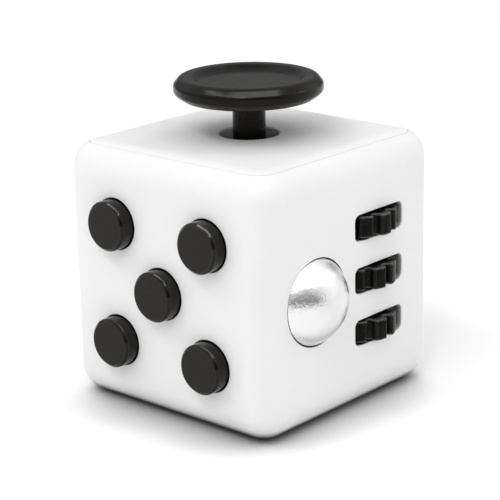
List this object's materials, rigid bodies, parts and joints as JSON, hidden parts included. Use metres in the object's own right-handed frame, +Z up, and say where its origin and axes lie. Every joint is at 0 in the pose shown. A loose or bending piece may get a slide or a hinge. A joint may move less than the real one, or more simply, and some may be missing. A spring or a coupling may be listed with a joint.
{
  "type": "fidget cube",
  "caption": "Rounded white desk cube with a black thumb stick, press buttons, toothed wheels, a steel ball, a flip switch, a spin dial and a thumb dish.",
  "frame": {"origin": "centre of the base, on the surface that the cube stands on", "axes": "+Z up through the thumb stick, -Y out of the face with five buttons, +X out of the face with the ball and the toothed wheels, +Y out of the dial's face, -X out of the switch's face"},
  "size_m": [0.0391, 0.0368, 0.0403],
  "materials": {
    "shell_white": "soft-touch matte, slightly warm white",
    "button_black": "satin black, fine mould texture",
    "cap_soft_black": "satin soft-touch black",
    "stem_black": "semi-gloss black",
    "gear_black": "semi-gloss black",
    "ball_steel": "polished bearing steel",
    "inner_black": "moulded, matte",
    "clear_silicone": "milky, matte",
    "spring_steel": "bright drawn wire and stamped sheet",
    "fastener_steel": "zinc plated"
  },
  "bodies": {
    "root": {"body_shell": "shell_white", "top_cover": "shell_white", "bottom_cover": "shell_white", "button_backplate": "inner_black", "click_dome_top_left": "spring_steel", "silent_dome_top_right": "clear_silicone", "click_dome_centre": "spring_steel", "silent_dome_bottom_left": "clear_silicone", "click_dome_bottom_right": "spring_steel", "gear_axle": "fastener_steel", "gear_bracket": "inner_black", "ball_housing": "inner_black", "ball_click_dome": "spring_steel", "joystick_socket": "inner_black", "joystick_retainer": "inner_black", "joystick_return_spring": "spring_steel", "switch_pin": "fastener_steel", "switch_frame": "inner_black", "switch_plunger_spring": "spring_steel", "backplate_screw_top": "fastener_steel", "backplate_screw_bottom": "fastener_steel", "backplate_screw_left": "fastener_steel", "bracket_screw_upper": "fastener_steel", "bracket_screw_lower": "fastener_steel", "housing_screw_upper": "fastener_steel", "housing_screw_lower": "fastener_steel", "joystick_screw_front_left": "fastener_steel", "joystick_screw_front_right": "fastener_steel", "joystick_screw_rear_left": "fastener_steel", "joystick_screw_rear_right": "fastener_steel", "switch_screw_upper": "fastener_steel", "switch_screw_lower": "fastener_steel"},
    "button_top_left": {"button_top_left": "button_black"},
    "button_top_right": {"button_top_right": "button_black"},
    "button_centre": {"button_centre": "button_black"},
    "button_bottom_left": {"button_bottom_left": "button_black"},
    "button_bottom_right": {"button_bottom_right": "button_black"},
    "gear_top": {"gear_top": "gear_black"},
    "gear_middle": {"gear_middle": "gear_black"},
    "gear_bottom": {"gear_bottom": "gear_black"},
    "ball_seat": {"ball_seat": "inner_black"},
    "ball_liner": {"ball_liner": "clear_silicone"},
    "ball": {"ball": "ball_steel"},
    "joystick_cross_pin": {"joystick_cross_pin": "fastener_steel"},
    "joystick": {"joystick_stem": "stem_black", "joystick_cap": "cap_soft_black"},
    "switch_rocker": {"switch_rocker": "button_black"},
    "switch_plunger": {"switch_plunger": "fastener_steel"},
    "dial": {"dial": "button_black", "dial_washer": "fastener_steel", "dial_screw": "fastener_steel"}
  },
  "joints": [
    {"name": "top_left_button_press", "type": "slide", "parent": "root", "child": "button_top_left", "axis": [0, 1, 0], "range_m": [0, 0.001], "stiffness_N_per_m": 1800, "deforming": ["click_dome_top_left"]},
    {"name": "top_right_button_press", "type": "slide", "parent": "root", "child": "button_top_right", "axis": [0, 1, 0], "range_m": [0, 0.001], "stiffness_N_per_m": 900, "deforming": ["silent_dome_top_right"]},
    {"name": "centre_button_press", "type": "slide", "parent": "root", "child": "button_centre", "axis": [0, 1, 0], "range_m": [0, 0.001], "stiffness_N_per_m": 1800, "deforming": ["click_dome_centre"]},
    {"name": "bottom_left_button_press", "type": "slide", "parent": "root", "child": "button_bottom_left", "axis": [0, 1, 0], "range_m": [0, 0.001], "stiffness_N_per_m": 900, "deforming": ["silent_dome_bottom_left"]},
    {"name": "bottom_right_button_press", "type": "slide", "parent": "root", "child": "button_bottom_right", "axis": [0, 1, 0], "range_m": [0, 0.001], "stiffness_N_per_m": 1800, "deforming": ["click_dome_bottom_right"]},
    {"name": "top_gear_spin", "type": "hinge", "parent": "root", "child": "gear_top", "pos_m": [0.0131, 0.0049, 0.0233], "axis": [0, 0, 1], "continuous": true},
    {"name": "middle_gear_spin", "type": "hinge", "parent": "root", "child": "gear_middle", "pos_m": [0.0131, 0.0049, 0.0166], "axis": [0, 0, 1], "continuous": true},
    {"name": "bottom_gear_spin", "type": "hinge", "parent": "root", "child": "gear_bottom", "pos_m": [0.0131, 0.0049, 0.0099], "axis": [0, 0, 1], "continuous": true},
    {"name": "ball_press", "type": "slide", "parent": "root", "child": "ball_seat", "axis": [-1, 0, 0], "range_m": [0, 0.0008], "stiffness_N_per_m": 2500, "deforming": ["ball_click_dome"]},
    {"name": "ball_liner_turn", "type": "hinge", "parent": "ball_seat", "child": "ball_liner", "pos_m": [0.0137, -0.0071, 0.0161], "axis": [1, 0, 0], "continuous": true},
    {"name": "ball_roll", "type": "hinge", "parent": "ball_liner", "child": "ball", "pos_m": [0.0137, -0.0071, 0.0161], "axis": [0, 0, 1], "continuous": true},
    {"name": "joystick_tilt_sideways", "type": "hinge", "parent": "root", "child": "joystick_cross_pin", "pos_m": [0, 0, 0.0275], "axis": [0, 1, 0], "range_deg": [-10, 10], "stiffness_Nm_per_rad": 0.03, "deforming": ["joystick_return_spring"]},
    {"name": "joystick_tilt_forward", "type": "hinge", "parent": "joystick_cross_pin", "child": "joystick", "pos_m": [0, 0, 0.0275], "axis": [1, 0, 0], "range_deg": [-10, 10], "stiffness_Nm_per_rad": 0.03, "deforming": ["joystick_return_spring"]},
    {"name": "switch_flip", "type": "hinge", "parent": "root", "child": "switch_rocker", "pos_m": [-0.0137, 0, 0.0165], "axis": [0, 1, 0], "range_deg": [0, 28]},
    {"name": "switch_plunger_slide", "type": "slide", "parent": "root", "child": "switch_plunger", "axis": [1, 0, 0], "range_m": [0, 0.0005], "stiffness_N_per_m": 400, "deforming": ["switch_plunger_spring"]},
    {"name": "dial_spin", "type": "hinge", "parent": "root", "child": "dial", "pos_m": [0, 0.0165, 0.0165], "axis": [0, 1, 0], "continuous": true}
  ]
}
